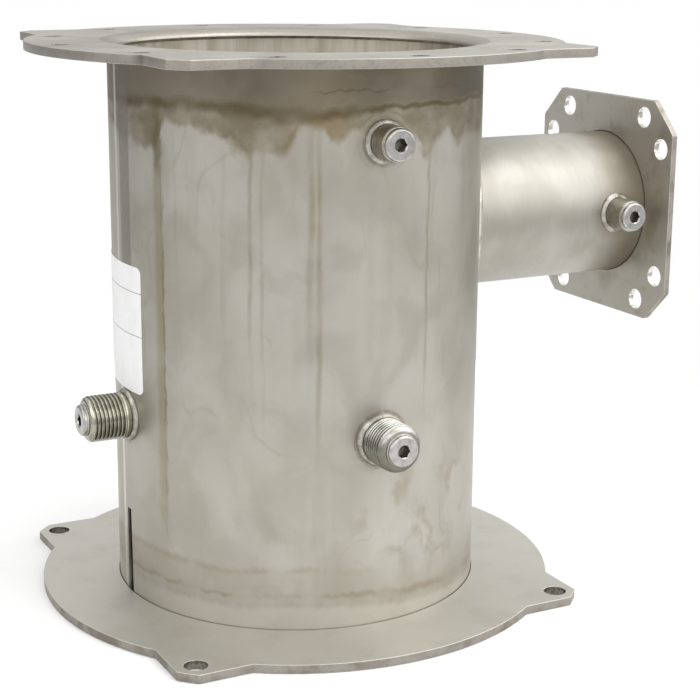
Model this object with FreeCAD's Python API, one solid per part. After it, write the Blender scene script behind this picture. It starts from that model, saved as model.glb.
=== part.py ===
import FreeCAD, Part
import math
import os

# Gas and air venturi tube of welded stainless steel, in millimetres.
# The origin is the middle of the outlet flange's underside. +Z runs up the air path towards the inlet, and
# +X runs out along the gas pipe. Air enters at the top, speeds up in the nozzle, takes in gas through the
# ring slot at the throat, and slows down again in the diffuser.

# Outer shell, a rolled and welded tube
overall_height = 252.0
shell_od = 168.3
shell_wall = 2.0
front_angle = -90.0
left_angle = 180.0
vent_slot_foot_width = 6.2
vent_slot_top_width = 4.2
vent_slot_top = 43.5

# Outlet and inlet flanges share one outline: a disc with four square ears, trimmed at their tips
flange_disc_d = 240.0
ear_corner_reach = 20.0
ear_tip_reach = 15.0
ear_tip_round = 1.5
outlet_flange_plate = 4.0
outlet_hole_d = 10.0
outlet_hole_inset = 8.5
outlet_hole_count = 4
first_ear_angle = 45.0
inlet_flange_plate = 4.0
inlet_hole_d = 8.5
inlet_hole_inset = 10.0
inlet_hole_count = 12
mouth_overhang = 3.15
mouth_lip_width = 8.5
mouth_lip_depth = 3.5

# Gas pipe and its flange, an upright square with chamfered corners
gas_axis_drop = 84.5
gas_face_distance = 175.2
gas_pipe_od = 70.0
gas_pipe_wall = 2.0
gas_flange_side = 107.0
gas_flange_plate = 3.0
gas_flange_chamfer = 15.0
gas_flange_corner_round = 2.0
gas_hole_d = 10.0
gas_hole_inset = 8.5
gas_hole_step = 14.0

# Spun sheet pieces that shape the air path
liner_wall = 2.0
nozzle_clear_of_gas = 2.5
nozzle_collar = 7.0
nozzle_shoulder_bend = 6.0
nozzle_cone_length = 38.0
throat_d = 92.0
throat_bend = 30.0
throat_length = 17.0
gas_slot = 2.8
gas_slot_length = 9.0
diffuser_lip_reach = 4.5
diffuser_lip_bend = 6.0
mixing_length = 10.0
mixing_bend = 60.0
diffuser_foot_height = 10.0
diffuser_foot_bend = 20.0
chamber_floor_plate = 2.0
chamber_floor_clear_of_slot = 4.5

# Pressure taps: two plain bosses and two threaded nipples, each closed by a socket plug on a sealing washer
upper_tap_clear_of_nozzle = 5.3
pipe_tap_inset = 19.4
boss_d = 15.0
upper_boss_stand_out = 10.6
pipe_boss_stand_out = 11.8
boss_round = 0.5
nipple_height = 87.8
nipple_d = 20.955
nipple_round = 3.0
nipple_collar_d = 20.4
nipple_collar = 3.0
left_nipple_stand_out = 20.0
front_nipple_stand_out = 17.2
tap_drill_d = 6.0
plug_thread_d = 9.728
plug_thread_length = 8.0
plug_head_d = 14.0
plug_head_height = 1.9
plug_head_round = 1.3
plug_socket_flats = 5.0
plug_socket_depth = 4.8
plug_socket_mouth_d = 6.2
washer_d = 14.4
washer_thickness = 0.7

# Weld beads
boss_weld = 2.8
nipple_weld = 1.8
gas_root_weld = 2.4
inlet_inside_weld = 1.0
nozzle_inside_weld = 2.2
weld_prep = 1.5
weld_relief = 0.3
weld_roundness = 0.75

# Rating label, left blank
label_width = 80.0
label_height = 57.0
label_thickness = 0.2
label_corner = 3.0
label_bottom = 100.2
label_right_angle = 191.4

# Clearances
seat_gap = 0.05
sheet_gap = 0.10
slip_gap = 0.25
thread_gap = 0.10

ORIGIN = FreeCAD.Vector(0, 0, 0)
UP = FreeCAD.Vector(0, 0, 1)
GAS_OUT = FreeCAD.Vector(1, 0, 0)
FIT_TOLERANCE = 1e-3

# Radii and places that follow from the sizes above
shell_r = shell_od / 2
shell_bore_r = shell_r - shell_wall
shell_top = overall_height - inlet_flange_plate
shell_bottom = weld_prep
flange_disc_r = flange_disc_d / 2
ear_tip_r = flange_disc_r + ear_tip_reach
ear_square = (flange_disc_r + ear_corner_reach) * math.sqrt(2)
mouth_r = shell_bore_r - mouth_overhang
gas_axis_height = overall_height - gas_axis_drop
gas_axis = UP * gas_axis_height
gas_pipe_r = gas_pipe_od / 2
gas_bore_r = gas_pipe_r - gas_pipe_wall
gas_pipe_end = gas_face_distance - weld_prep
liner_r = shell_bore_r - sheet_gap
nozzle_shoulder = gas_axis_height + gas_bore_r + nozzle_clear_of_gas
nozzle_top = nozzle_shoulder + nozzle_collar
throat_r = throat_d / 2
throat_top = nozzle_shoulder - nozzle_cone_length
nozzle_end = throat_top - throat_length
mixing_r = throat_r + liner_wall + gas_slot
mixing_end = nozzle_end - mixing_length
diffuser_top = nozzle_end + gas_slot_length
diffuser_foot_r = liner_r - liner_wall
chamber_floor_height = vent_slot_top + chamber_floor_clear_of_slot
upper_tap_height = nozzle_top + upper_tap_clear_of_nozzle
pipe_tap_distance = gas_face_distance - pipe_tap_inset


def save(name, shape):
    shape.exportStep("parts/" + name + ".step")


def heading(angle):
    """Level direction at an angle from +X, in degrees."""
    turn = math.radians(angle)
    return FreeCAD.Vector(math.cos(turn), math.sin(turn), 0)


def section_point(radius, height):
    """Point of an outline that is turned about the tube's axis."""
    return FreeCAD.Vector(radius, 0, height)


def turned(points):
    """Solid turned about the tube's axis from the corners of its section."""
    corners = [section_point(*p) for p in points]
    outline = Part.makePolygon(corners + corners[:1])
    return Part.Face(outline).revolve(ORIGIN, UP, 360)


def bent_path(points, bends):
    """Open wire through points, with each inner corner rounded to its bend radius."""
    corners = [section_point(*p) for p in points]
    edges = []
    start = corners[0]
    for before, corner, after, bend in zip(corners, corners[1:], corners[2:], bends):
        back = (before - corner).normalize()
        ahead = (after - corner).normalize()
        half_angle = back.getAngle(ahead) / 2
        reach = bend / math.tan(half_angle)
        to_centre = (back + ahead).normalize()
        arc_start = corner + back * reach
        arc_middle = corner + to_centre * (bend / math.sin(half_angle) - bend)
        arc_end = corner + ahead * reach
        edges.append(Part.makeLine(start, arc_start))
        edges.append(Part.Arc(arc_start, arc_middle, arc_end).toShape())
        start = arc_end
    edges.append(Part.makeLine(start, corners[-1]))
    return Part.Wire(edges)


def spun_sheet(path):
    """Sheet of the liner's wall, laid on the outer side of a path and turned about the tube's axis."""
    sharp_joints = 0
    closed_strip = True
    open_path = True
    section = path.makeOffset2D(liner_wall, sharp_joints, closed_strip, open_path)
    return section.revolve(ORIGIN, UP, 360)


def straight_edges(shape, along):
    """Straight edges of a shape that run along a direction."""
    chosen = []
    for edge in shape.Edges:
        if len(edge.Vertexes) == 2:
            run = edge.Vertexes[1].Point - edge.Vertexes[0].Point
            if run.cross(along).Length < FIT_TOLERANCE:
                chosen.append(edge)
    return chosen


def flange_blank(plate, bottom):
    """Disc with four square ears, trimmed to a circle and lightly rounded at their tips."""
    base = UP * bottom
    corner = base + FreeCAD.Vector(-ear_square / 2, -ear_square / 2, 0)
    ears = Part.makeBox(ear_square, ear_square, plate, corner)
    ears = ears.common(Part.makeCylinder(ear_tip_r, plate, base))
    ears = ears.makeFillet(ear_tip_round, straight_edges(ears, UP))
    return ears.fuse(Part.makeCylinder(flange_disc_r, plate, base)).removeSplitter()


def hole_ring(count, ring_r, hole_d, plate, bottom, start):
    """Drills through a level plate, evenly spaced round the tube."""
    drills = []
    for k in range(count):
        spot = heading(start + 360 * k / count) * ring_r + UP * bottom
        drills.append(Part.makeCylinder(hole_d / 2, plate, spot))
    return drills


def outlet_flange():
    ring_r = ear_tip_r - outlet_hole_inset
    shell_hole_r = shell_r + slip_gap
    drills = hole_ring(outlet_hole_count, ring_r, outlet_hole_d, outlet_flange_plate, 0, first_ear_angle)
    drills.append(Part.makeCylinder(shell_hole_r, outlet_flange_plate))
    drills.append(Part.makeCone(shell_hole_r + weld_prep, shell_hole_r, weld_prep))
    return flange_blank(outlet_flange_plate, 0).cut(drills)


def inlet_flange():
    ring_r = flange_disc_r - inlet_hole_inset
    drills = hole_ring(inlet_hole_count, ring_r, inlet_hole_d, inlet_flange_plate, shell_top, 0)
    drills.append(mouth_space())
    return flange_blank(inlet_flange_plate, shell_top).cut(drills)


def mouth_space():
    """Space inside the inlet's rolled lip, a quarter ellipse from the plate's face down to the mouth."""
    slant = math.sqrt(0.5)
    quarter = Part.Arc(section_point(-1, 0), section_point(-slant, slant), section_point(0, 1)).toShape()
    rim_r = mouth_r + mouth_lip_width
    lip_foot = overall_height - mouth_lip_depth
    stretch = FreeCAD.Matrix()
    stretch.scale(mouth_lip_width, 1, mouth_lip_depth)
    stretch.move(section_point(rim_r, lip_foot))
    lip = quarter.transformGeometry(stretch)
    sides = Part.makePolygon([
        section_point(rim_r, overall_height),
        section_point(0, overall_height),
        section_point(0, shell_top),
        section_point(mouth_r, shell_top),
        section_point(mouth_r, lip_foot),
    ])
    outline = Part.Wire(lip.Edges + sides.Edges)
    return Part.Face(outline).revolve(ORIGIN, UP, 360)


def outer_shell():
    length = shell_top - shell_bottom
    foot = UP * shell_bottom
    tube = Part.makeCylinder(shell_r, length, foot).cut(Part.makeCylinder(shell_bore_r, length, foot))
    drills = [Part.makeCylinder(gas_bore_r, shell_od, gas_axis, GAS_OUT), vent_slot()]
    for height, angle in (
        (upper_tap_height, front_angle),
        (nipple_height, front_angle),
        (nipple_height, left_angle),
    ):
        drills.append(Part.makeCylinder(tap_drill_d / 2, shell_od, UP * height, heading(angle)))
    return tube.cut(drills)


def vent_slot():
    """Upright slot that vents the closed space round the diffuser's foot, wider at its foot."""
    foot = vent_slot_foot_width / 2
    top = vent_slot_top_width / 2
    corners = []
    for across, height in ((-foot, 0), (foot, 0), (top, vent_slot_top), (-top, vent_slot_top)):
        corners.append(FreeCAD.Vector(0, across, height))
    outline = Part.makePolygon(corners + corners[:1])
    slot = Part.Face(outline).extrude(GAS_OUT * shell_od)
    slot.rotate(ORIGIN, UP, left_angle)
    return slot


def inlet_nozzle():
    shoulder_r = liner_r - liner_wall
    stations = [
        (shoulder_r, nozzle_top),
        (shoulder_r, nozzle_shoulder),
        (throat_r, throat_top),
        (throat_r, nozzle_end),
    ]
    return spun_sheet(bent_path(stations, [nozzle_shoulder_bend, throat_bend]))


def diffuser():
    stations = [
        (mixing_r + diffuser_lip_bend + diffuser_lip_reach, diffuser_top),
        (mixing_r, diffuser_top),
        (mixing_r, mixing_end),
        (diffuser_foot_r, diffuser_foot_height),
        (diffuser_foot_r, shell_bottom),
    ]
    return spun_sheet(bent_path(stations, [diffuser_lip_bend, mixing_bend, diffuser_foot_bend]))


def chamber_floor():
    """Ring that closes the gas chamber between the diffuser's cone and the shell."""
    slope = (diffuser_foot_r - mixing_r) / (mixing_end - diffuser_foot_height)
    cone_r = mixing_r + slope * (mixing_end - chamber_floor_height)
    wall_across = liner_wall * math.hypot(1, slope)
    inner = cone_r + wall_across + sheet_gap
    top = chamber_floor_height + chamber_floor_plate
    return turned([
        (inner, chamber_floor_height),
        (liner_r, chamber_floor_height),
        (liner_r, top),
        (inner - slope * chamber_floor_plate, top),
    ])


def gas_pipe():
    tube = Part.makeCylinder(gas_pipe_r, gas_pipe_end, gas_axis, GAS_OUT)
    bore = Part.makeCylinder(gas_bore_r, gas_pipe_end, gas_axis, GAS_OUT)
    tap_point = gas_axis + GAS_OUT * pipe_tap_distance
    tap_drill = Part.makeCylinder(tap_drill_d / 2, gas_pipe_od, tap_point, heading(front_angle))
    return tube.cut([bore, shell_body(seat_gap), tap_drill])


def gas_flange():
    back = gas_axis + GAS_OUT * (gas_face_distance - gas_flange_plate)
    face = gas_axis + GAS_OUT * gas_face_distance
    corner = back - FreeCAD.Vector(0, gas_flange_side / 2, gas_flange_side / 2)
    plate = Part.makeBox(gas_flange_plate, gas_flange_side, gas_flange_side, corner)
    plate = plate.makeChamfer(gas_flange_chamfer, straight_edges(plate, GAS_OUT))
    plate = plate.makeFillet(gas_flange_corner_round, straight_edges(plate, GAS_OUT))
    pipe_hole_r = gas_pipe_r + slip_gap
    drills = [
        Part.makeCylinder(pipe_hole_r, gas_flange_plate, back, GAS_OUT),
        Part.makeCone(pipe_hole_r + weld_prep, pipe_hole_r, weld_prep, face, -GAS_OUT),
    ]
    far = gas_flange_side / 2 - gas_hole_inset
    near = far - gas_hole_step
    for across, up in ((near, far), (far, near)):
        for side in (-1, 1):
            for level in (-1, 1):
                spot = back + FreeCAD.Vector(0, side * across, level * up)
                drills.append(Part.makeCylinder(gas_hole_d / 2, gas_flange_plate, spot, GAS_OUT))
    return plate.cut(drills)


def shell_body(extra):
    """Solid as large as the outside of the shell, plus an extra all round."""
    return Part.makeCylinder(shell_r + extra, overall_height)


def gas_body(extra):
    """Solid as large as the outside of the gas pipe, plus an extra all round."""
    return Part.makeCylinder(gas_pipe_r + extra, gas_face_distance, gas_axis, GAS_OUT)


class Tap:
    """Stub that stands out from a tube, from a point on the tube's axis."""

    def __init__(self, axis_point, out, root_d, stand_out, host_r, host_body):
        self.axis_point = axis_point
        self.out = out
        self.radius = root_d / 2
        self.host_r = host_r
        self.host_body = host_body
        self.end = host_r + stand_out

    def disc(self, radius, start, length):
        """Cylinder on the stub's axis, from a distance off the tube's axis."""
        return Part.makeCylinder(radius, length, self.axis_point + self.out * start, self.out)

    def rim(self, solid, distance):
        """Whole circles of a solid that lie at a distance off the tube's axis."""
        rims = []
        for edge in solid.Edges:
            offset = (edge.CenterOfMass - self.axis_point).dot(self.out) - distance
            if len(edge.Vertexes) == 1 and abs(offset) < FIT_TOLERANCE:
                rims.append(edge)
        return rims

    def stub(self, outside_d, root_length, end_round):
        """Boss or nipple on its root, rounded at its end, coped to its tube and drilled for the plug."""
        start = self.host_r + root_length
        body = self.disc(outside_d / 2, start, self.end - start)
        body = body.makeFillet(end_round, self.rim(body, self.end))
        body = body.fuse(self.disc(self.radius, 0, start)).removeSplitter()
        thread = self.disc(plug_thread_d / 2 + thread_gap, 0, self.end)
        return body.cut([self.host_body(seat_gap), thread])

    def washer(self):
        ring = self.disc(washer_d / 2, self.end, washer_thickness)
        return ring.cut(self.disc(plug_thread_d / 2 + thread_gap, self.end, washer_thickness))

    def plug(self):
        seat = self.end + washer_thickness
        face = seat + plug_head_height
        head = self.disc(plug_head_d / 2, seat, plug_head_height)
        head = head.makeFillet(plug_head_round, self.rim(head, face))
        thread_length = washer_thickness + plug_thread_length
        thread = self.disc(plug_thread_d / 2, seat - thread_length, thread_length)
        return head.fuse(thread).cut(self.socket(face))

    def socket(self, face):
        """Six-sided recess in the plug's head, with two flats level, and its countersunk mouth."""
        across = self.out.cross(UP)
        floor = self.axis_point + self.out * (face - plug_socket_depth)
        corner_r = plug_socket_flats / math.sqrt(3)
        corners = []
        sides = 6
        for k in range(sides):
            turn = 2 * math.pi * k / sides
            corners.append(floor + across * (corner_r * math.cos(turn)) + UP * (corner_r * math.sin(turn)))
        outline = Part.makePolygon(corners + corners[:1])
        recess = Part.Face(outline).extrude(self.out * plug_socket_depth)
        mouth_r = plug_socket_mouth_d / 2
        mouth = Part.makeCone(mouth_r, 0, mouth_r, self.axis_point + self.out * face, -self.out)
        return [recess, mouth]

    def weld(self, leg):
        """Bead that follows the joint between the stub and its tube."""
        length = self.host_r + leg + self.radius
        bead = self.disc(self.radius + leg, 0, length).common(self.host_body(leg))
        bead = bead.cut([self.disc(self.radius + seat_gap, 0, length), self.host_body(seat_gap)])
        return bead.makeFillet(leg * weld_roundness, self.crest(bead, leg))

    def crest(self, bead, leg):
        """Edges where the bead's outer side meets its top."""
        skin = self.host_body(leg).Faces[0]
        chosen = []
        for edge in bead.Edges:
            spots = edge.discretize(5)
            wide = all(abs(self.distance_off(s) - self.radius - leg) < FIT_TOLERANCE for s in spots)
            high = all(skin.distToShape(Part.Vertex(s))[0] < FIT_TOLERANCE for s in spots)
            if wide and high:
                chosen.append(edge)
        return chosen

    def distance_off(self, spot):
        """Distance of a point from the stub's axis."""
        return (spot - self.axis_point).cross(self.out).Length


def recess_bead(bore_r, tube_r):
    """Bead over a tube's end, sunk in the recess of its flange; the flange's face is at height 0."""
    inner = bore_r + weld_relief
    shoulder = weld_relief * 2
    outer = tube_r + slip_gap + weld_prep - shoulder - seat_gap
    return turned([
        (inner, weld_prep),
        (tube_r, weld_prep),
        (outer, shoulder),
        (outer - weld_relief, weld_relief),
        (inner + weld_relief, weld_relief),
    ])


def gas_face_weld():
    bead = recess_bead(gas_bore_r, gas_pipe_r)
    bead.rotate(ORIGIN, FreeCAD.Vector(0, 1, 0), -90)
    bead.translate(gas_axis + GAS_OUT * gas_face_distance)
    return bead


def inside_bead(corner_height, side, leg):
    """Bead between the shell's bore and a level face, on the upper side (1) or the lower side (-1)."""
    outer = shell_bore_r - seat_gap
    level = corner_height + side * seat_gap
    return turned([(outer, level), (outer - leg, level), (outer, level + side * leg)])


def rating_label():
    """Blank label with rounded corners, bent round the shell."""
    half_turn = label_width / shell_od
    inner_r = shell_r + seat_gap
    base = UP * label_bottom
    sleeve = Part.makeCylinder(inner_r + label_thickness, label_height, base)
    sleeve = sleeve.cut(Part.makeCylinder(inner_r, label_height, base))
    across = 2 * inner_r * math.sin(half_turn)
    block = Part.makeBox(shell_od, across, label_height, base - FreeCAD.Vector(0, across / 2, 0))
    block = block.makeFillet(label_corner, straight_edges(block, GAS_OUT))
    patch = sleeve.common(block)
    patch.rotate(ORIGIN, UP, label_right_angle - math.degrees(half_turn))
    return patch


os.makedirs("parts", exist_ok=True)

save("outer_shell", outer_shell())
save("outlet_flange", outlet_flange())
save("inlet_flange", inlet_flange())
save("inlet_nozzle", inlet_nozzle())
save("diffuser", diffuser())
save("chamber_floor", chamber_floor())
save("gas_pipe", gas_pipe())
save("gas_flange", gas_flange())
save("rating_label", rating_label())

front = heading(front_angle)
left = heading(left_angle)
pipe_tap_point = gas_axis + GAS_OUT * pipe_tap_distance
upper_tap = Tap(UP * upper_tap_height, front, boss_d, upper_boss_stand_out, shell_r, shell_body)
pipe_tap = Tap(pipe_tap_point, front, boss_d, pipe_boss_stand_out, gas_pipe_r, gas_body)
left_tap = Tap(UP * nipple_height, left, nipple_collar_d, left_nipple_stand_out, shell_r, shell_body)
front_tap = Tap(UP * nipple_height, front, nipple_collar_d, front_nipple_stand_out, shell_r, shell_body)
gas_joint = Tap(gas_axis, GAS_OUT, gas_pipe_od, gas_pipe_end - shell_r, shell_r, shell_body)

for name, tap in (("upper_tap", upper_tap), ("pipe_tap", pipe_tap)):
    save(name + "_boss", tap.stub(boss_d, 0, boss_round))
    save(name + "_weld", tap.weld(boss_weld))
for name, tap in (("left_tap", left_tap), ("front_tap", front_tap)):
    save(name + "_nipple", tap.stub(nipple_d, nipple_collar, nipple_round))
    save(name + "_weld", tap.weld(nipple_weld))
for name, tap in (
    ("upper_tap", upper_tap),
    ("pipe_tap", pipe_tap),
    ("left_tap", left_tap),
    ("front_tap", front_tap),
):
    save(name + "_washer", tap.washer())
    save(name + "_plug", tap.plug())

save("gas_pipe_weld", gas_joint.weld(gas_root_weld))
save("gas_face_weld", gas_face_weld())
save("foot_weld", recess_bead(diffuser_foot_r, shell_r))
save("inlet_weld", inside_bead(shell_top, -1, inlet_inside_weld))
save("nozzle_weld", inside_bead(nozzle_top, 1, nozzle_inside_weld))
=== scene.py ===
import math

import bmesh
import bpy
from mathutils import Matrix, Vector, noise


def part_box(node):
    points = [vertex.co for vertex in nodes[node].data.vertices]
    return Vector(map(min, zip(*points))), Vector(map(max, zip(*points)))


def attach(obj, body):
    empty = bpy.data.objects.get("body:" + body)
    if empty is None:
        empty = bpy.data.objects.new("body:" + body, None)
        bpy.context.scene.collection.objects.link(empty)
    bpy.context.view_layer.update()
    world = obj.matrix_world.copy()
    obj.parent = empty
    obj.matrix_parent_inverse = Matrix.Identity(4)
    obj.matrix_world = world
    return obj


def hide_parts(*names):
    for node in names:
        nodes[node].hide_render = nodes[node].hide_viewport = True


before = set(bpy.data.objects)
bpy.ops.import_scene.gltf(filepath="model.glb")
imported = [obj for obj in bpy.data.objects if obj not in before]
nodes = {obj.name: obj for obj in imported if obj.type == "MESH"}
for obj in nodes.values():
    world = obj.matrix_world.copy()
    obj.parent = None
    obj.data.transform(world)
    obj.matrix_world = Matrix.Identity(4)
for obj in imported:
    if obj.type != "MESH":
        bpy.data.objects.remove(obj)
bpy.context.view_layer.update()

MM = 0.001
UP = Vector((0, 0, 1))
FRONT = Vector((0, -1, 0))
LEFT = Vector((-1, 0, 0))
GAS_OUT = Vector((1, 0, 0))

# Sizes read from the frame, in metres
shell_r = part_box("outer_shell")[1].x
gas_low, gas_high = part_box("gas_pipe")
gas_height = (gas_low.z + gas_high.z) / 2
gas_r = (gas_high.z - gas_low.z) / 2
gas_end = gas_high.x
gas_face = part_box("gas_flange")[1].x

# The inlet plate's rolled lip lies inside this radius
lip_r = shell_r + 3.5 * MM

# Camera, found from the edges and holes seen in the picture, in metres and degrees
PICTURE_PIXELS = 700
FOCAL_PIXELS = 1667
SENSOR_MM = 36
camera_distance = 0.7576
camera_height = 0.2997
camera_azimuth = -25.93
camera_turn = -1.918
camera_tilt = 14.174
camera_roll = 0.470


# Materials


def tone(red, green, blue):
    """Linear colour of a tone given as it shows on a screen, 0 to 255."""
    linear = []
    for channel in (red, green, blue):
        share = channel / 255
        linear.append(share / 12.92 if share <= 0.04045 else ((share + 0.055) / 1.055) ** 2.4)
    return (*linear, 1)


class Value:
    """Output of a node; arithmetic on it adds Math nodes."""

    def __init__(self, graph, socket):
        self.graph = graph
        self.socket = socket

    def output(self, name):
        """Another output of the same node."""
        return Value(self.graph, self.socket.node.outputs[name])

    def math(self, operation, *others):
        """Math node that takes this value first."""
        return self.graph.math(operation, self, *others)

    def __add__(self, other):
        return self.math("ADD", other)

    def __radd__(self, other):
        return self.math("ADD", other)

    def __sub__(self, other):
        return self.math("SUBTRACT", other)

    def __rsub__(self, other):
        return self.graph.math("SUBTRACT", other, self)

    def __mul__(self, other):
        return self.math("MULTIPLY", other)

    def __rmul__(self, other):
        return self.math("MULTIPLY", other)

    def __abs__(self):
        return self.math("ABSOLUTE")

    def capped(self):
        """This value, but never more than 1."""
        return self.math("MINIMUM", 1)

    def above(self, start, end):
        """Soft step from 0 at start to 1 at end."""
        sockets = {0: self, 1: start, 2: end, 3: 0, 4: 1}
        return self.graph.node("MapRange", {"interpolation_type": "SMOOTHSTEP"}, sockets)

    def below(self, start, end):
        """Soft step from 1 at start to 0 at end."""
        return 1 - self.above(start, end)

    def near(self, middle, half_width):
        """Soft bump: 1 at the middle, 0 past half a width on either side."""
        return abs(self - middle).below(0, half_width)


class Graph:
    """Node tree of a material or of the world."""

    def __init__(self, tree):
        self.tree = tree
        tree.nodes.clear()

    def node(self, kind, settings=None, sockets=None, output=0):
        """Adds a node: its settings first, then the values or links of its sockets."""
        new = self.tree.nodes.new("ShaderNode" + kind)
        for name, setting in (settings or {}).items():
            if name == "stops":
                self.set_stops(new.color_ramp, setting)
            else:
                setattr(new, name, setting)
        for key, value in (sockets or {}).items():
            if isinstance(value, Value):
                self.tree.links.new(value.socket, new.inputs[key])
            else:
                new.inputs[key].default_value = value
        return Value(self, new.outputs[output]) if new.outputs else None

    def set_stops(self, ramp, stops):
        """Greys at positions from 0 to 1; the first and the last stop lie at the ramp's ends."""
        ramp.interpolation = "EASE"
        for position, grey in stops[1:-1]:
            ramp.elements.new(position).color = (grey, grey, grey, 1)
        for end, (position, grey) in ((0, stops[0]), (-1, stops[-1])):
            ramp.elements[end].position = position
            ramp.elements[end].color = (grey, grey, grey, 1)

    def math(self, operation, *values):
        """Adds a Math node."""
        return self.node("Math", {"operation": operation}, dict(enumerate(values)))

    def mix(self, factor, first, second):
        """Colour between two colours."""
        return self.node("Mix", {"data_type": "RGBA"}, {0: factor, 6: first, 7: second}, 2)


class Finish(Graph):
    """Material of one finish; its patterns lie in object coordinates."""

    def __init__(self, name):
        self.material = bpy.data.materials.new(name)
        self.material.use_nodes = True
        super().__init__(self.material.node_tree)
        self.place = self.node("TexCoord").output("Object")
        axes = self.node("SeparateXYZ", sockets={0: self.place})
        self.x = axes.output("X")
        self.y = axes.output("Y")
        self.z = axes.output("Z")

    def grain(self, size, detail=2.0, stretch=(1, 1, 1), shift=(0, 0, 0), warp=0.0):
        """Soft noise from 0 to 1, with features of a size in metres."""
        scale = [1 / (size * s) for s in stretch]
        laid = self.node("Mapping", sockets={"Vector": self.place, "Location": shift, "Scale": scale})
        sockets = {"Vector": laid, "Scale": 1.0, "Detail": detail, "Distortion": warp}
        return self.node("TexNoise", {"noise_dimensions": "3D"}, sockets)

    def around(self):
        """Angle about the tube's axis, in degrees from the front, rising towards the gas pipe."""
        return self.math("ARCTAN2", self.x, 0 - self.y) * math.degrees(1)

    def distance(self, first, second):
        """Length across two offsets at right angles."""
        return self.math("SQRT", first * first + second * second)

    def lines(self, along, size, detail=2.0):
        """Noise from 0 to 1 that changes with one coordinate only."""
        sockets = {"W": along * (1 / size), "Scale": 1.0, "Detail": detail}
        return self.node("TexNoise", {"noise_dimensions": "1D"}, sockets)

    def bump(self, height, depth, under=None):
        """Normal of a height field that is depth metres deep."""
        sockets = {"Strength": 1.0, "Distance": depth, "Height": height}
        if under is not None:
            sockets["Normal"] = under
        return self.node("Bump", sockets=sockets)

    def surface(self, **sockets):
        """Closes the material with its shader."""
        named = {name.replace("_", " "): value for name, value in sockets.items()}
        shader = self.node("BsdfPrincipled", sockets=named)
        self.node("OutputMaterial", sockets={"Surface": shader})
        return self.material

    def bare_metal(self, colour, roughness, normal=None):
        """Closes the material as metal without paint."""
        sockets = {"Base_Color": colour, "Metallic": 1.0, "Roughness": roughness}
        if normal is not None:
            sockets["Normal"] = normal
        return self.surface(**sockets)


# Stains on the shell: degrees from the front, then heights and widths in millimetres
heat_edge = (
    # around, height of the tint's lower edge
    (-180, 211), (-165, 218), (-148, 210), (-130, 219), (-116, 210), (-104, 217), (-88, 212), (-73, 208.5),
    (-69.5, 210), (-66.5, 222), (-52, 219.5), (-39, 210.5), (-33, 213), (-28.5, 211), (-24, 223), (-14, 215),
    (-9, 222), (3, 214), (11, 217), (14.5, 206), (19, 214), (25, 218), (29, 209), (34, 216),
    (45, 213), (58, 219), (72, 209), (90, 218), (108, 208), (126, 219), (146, 212), (180, 211),
)
drips = (
    # around, top, foot, width, strength
    (-62.5, 214, 150, 1.3, 0.16),
    (-47.0, 206, 128, 2.0, 0.12),
    (-38.7, 212, 120, 1.6, 0.42),
    (-35.3, 214, 100, 1.4, 0.24),
    (-22.0, 218, 128, 2.6, 0.46),
    (-19.6, 217, 92, 2.0, 0.50),
    (-4.0, 190, 120, 3.5, 0.15),
    (15.5, 208, 118, 1.5, 0.65),
    (17.3, 196, 130, 1.2, 0.14),
    (33.0, 214, 170, 4.0, 0.30),
    (62.0, 214, 140, 2.4, 0.40),
    (118.0, 212, 70, 3.0, 0.60),
    (150.0, 214, 120, 2.0, 0.45),
    (-165.0, 212, 90, 3.2, 0.60),
    (-128.0, 214, 60, 2.2, 0.50),
    (-108.0, 212, 130, 2.8, 0.40),
)

# The tint's edge stays between these heights, in millimetres; the burn line lies above it
edge_low = 200
edge_high = 230
burn_line = 229.5 * MM


def clean_sheet(steel):
    """Pickled sheet: pale soft clouds, faint upright streaks, a darker patch over the right half low down,
    and thin dried water edges.
    """
    clouds = steel.grain(0.060, 3, (1, 1, 1.2), warp=0.8)
    blotches = steel.grain(0.021, 4, (1, 1, 1.2), (3, 1, 0), 0.5)
    streaks = steel.grain(0.008, 3, (1, 1, 16), (0, 5, 2))
    colour = steel.mix(clouds.above(0.32, 0.70), tone(167, 163, 152), tone(181, 178, 170))
    colour = steel.mix(blotches.above(0.46, 0.66) * 0.42, colour, tone(158, 153, 143))
    colour = steel.mix(blotches.below(0.32, 0.46) * 0.40, colour, tone(181, 178, 169))
    colour = steel.mix(streaks.above(0.50, 0.78) * 0.25, colour, tone(155, 150, 138))
    # Darker over the right half of the shell, low down
    film = steel.x.above(0.020, 0.050) * steel.z.below(0.09, 0.19)
    colour = steel.mix(film * 0.32, colour, tone(150, 146, 135))
    water = steel.grain(0.050, 2, (1, 1, 1.8), (5, 7, 2), 0.4)
    patchy = steel.grain(0.028, 2, (1, 1, 1), (1, 8, 3)).above(0.46, 0.66)
    edges = water.near(0.47, 0.010) + water.near(0.56, 0.012)
    return steel.mix((edges * patchy).capped() * 0.22, colour, tone(140, 133, 114))


def splash_marks(steel, around, colour):
    """Dried splashes low on the right: broken olive outlines round paler patches."""
    shape = steel.grain(0.020, 3, (1, 1, 1.3), (4, 9, 2), 0.1)
    broken = steel.grain(0.016, 3, (1, 1, 1), (2, 3, 8)).above(0.42, 0.58)
    across = around.above(-16, 0) * around.below(30, 44)
    zone = across * steel.z.above(0.024, 0.032) * steel.z.below(0.060, 0.090)
    colour = steel.mix(shape.above(0.50, 0.56) * zone * 0.25, colour, tone(190, 187, 178))
    outline = shape.near(0.49, 0.085) * broken * zone
    return steel.mix(outline * 0.40, colour, tone(144, 136, 112))


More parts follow.
